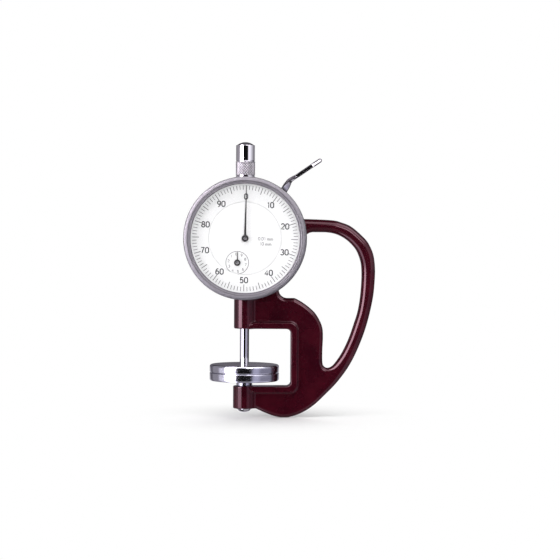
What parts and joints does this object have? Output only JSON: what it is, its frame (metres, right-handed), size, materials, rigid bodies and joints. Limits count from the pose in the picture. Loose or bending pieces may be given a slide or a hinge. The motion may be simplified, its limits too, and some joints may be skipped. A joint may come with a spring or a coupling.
{
  "type": "dial thickness gauge",
  "caption": "Hand-held dial thickness gauge with a loop handle, a C-shaped throat, two flat discs, a turning bezel and a lifting lever.",
  "frame": {"origin": "centre of the back cover's flat outer face, on the dial's axis", "axes": "+Y out of the back cover, away from the dial; +Z along the spindle, from the discs to the cap; +X towards the loop handle"},
  "size_m": [0.0826, 0.0305, 0.119],
  "materials": {
    "enamel": "glossy dark maroon enamel",
    "chrome_plate": "bright chrome plate over turned steel",
    "ground_steel": "fine ground and lapped steel",
    "steel": "bright turned steel",
    "brass": "satin brass",
    "dial_white": "satin white dial lacquer with printed divisions",
    "pointer_black": "black lacquer",
    "crystal": "clear flat crystal"
  },
  "bodies": {
    "root": {"frame_casting": "enamel", "back_cover": "ground_steel", "cover_screw_1": "steel", "cover_screw_2": "steel", "cover_screw_3": "steel", "cover_screw_4": "steel", "lower_bush": "brass", "upper_bush": "brass", "spindle_cap": "chrome_plate", "anvil_disc": "ground_steel", "anvil_screw": "chrome_plate", "inner_dial": "dial_white", "movement_plate": "brass", "plate_screw_1": "steel", "plate_screw_2": "steel", "plate_screw_3": "steel", "centre_bridge": "brass", "counter_bridge": "brass", "centre_pillar_1": "brass", "centre_pillar_2": "brass", "centre_bridge_screw_1": "steel", "centre_bridge_screw_2": "steel", "counter_pillar_1": "brass", "counter_pillar_2": "brass", "counter_bridge_screw_1": "steel", "counter_bridge_screw_2": "steel", "spring_post": "steel", "return_spring": "steel", "hairspring": "steel", "hairspring_stud": "brass", "lever_screw": "steel", "lever_spacer": "brass"},
    "bezel": {"bezel_ring": "chrome_plate", "crystal": "crystal", "spacer_ring": "steel", "scale_ring": "dial_white"},
    "spindle_group": {"spindle": "chrome_plate", "contact_disc": "ground_steel", "lift_pin": "steel", "spring_pin": "steel"},
    "counter_group": {"counter_arbor": "steel", "counter_wheel": "brass", "rack_pinion": "steel", "counter_pointer": "pointer_black"},
    "centre_group": {"centre_arbor": "steel", "centre_pinion": "steel", "main_pointer": "pointer_black"},
    "takeup_group": {"takeup_arbor": "steel", "takeup_wheel": "brass", "hairspring_collet": "brass"},
    "lever": {"lift_lever": "chrome_plate"}
  },
  "joints": [
    {"name": "bezel_turn", "type": "hinge", "parent": "root", "child": "bezel", "pos_m": [0, -0.0197, 0], "axis": [0, 1, 0], "continuous": true},
    {"name": "spindle_slide", "type": "slide", "parent": "root", "child": "spindle_group", "axis": [0, 0, 1], "range_m": [0, 0.01], "stiffness_N_per_m": 50, "springref_m": -0.02, "deforming": ["return_spring"]},
    {"name": "main_pointer_spin", "type": "hinge", "parent": "root", "child": "centre_group", "pos_m": [0, -0.0167, 0], "axis": [0, 1, 0], "range_deg": [-5, 3605]},
    {"name": "counter_spin", "type": "hinge", "parent": "root", "child": "counter_group", "pos_m": [-0.0033, -0.0127, -0.01043], "axis": [0, 1, 0], "range_deg": [-362, 2]},
    {"name": "takeup_spin", "type": "hinge", "parent": "root", "child": "takeup_group", "pos_m": [0.00547, -0.0137, 0.00948], "axis": [0, 1, 0], "range_deg": [-362, 2]},
    {"name": "lever_swing", "type": "hinge", "parent": "root", "child": "lever", "pos_m": [0.0132, -0.005, 0.0146], "axis": [0, 1, 0], "range_deg": [-0.5, 42]}
  ],
  "couplings": [
    {"joint": "main_pointer_spin", "follows": "spindle_slide", "rad_per_m": 6283.2},
    {"joint": "counter_spin", "follows": "spindle_slide", "rad_per_m": -628.32},
    {"joint": "takeup_spin", "follows": "spindle_slide", "rad_per_m": -628.32},
    {"joint": "lever_swing", "follows": "spindle_slide", "rad_per_m": 72.392}
  ]
}
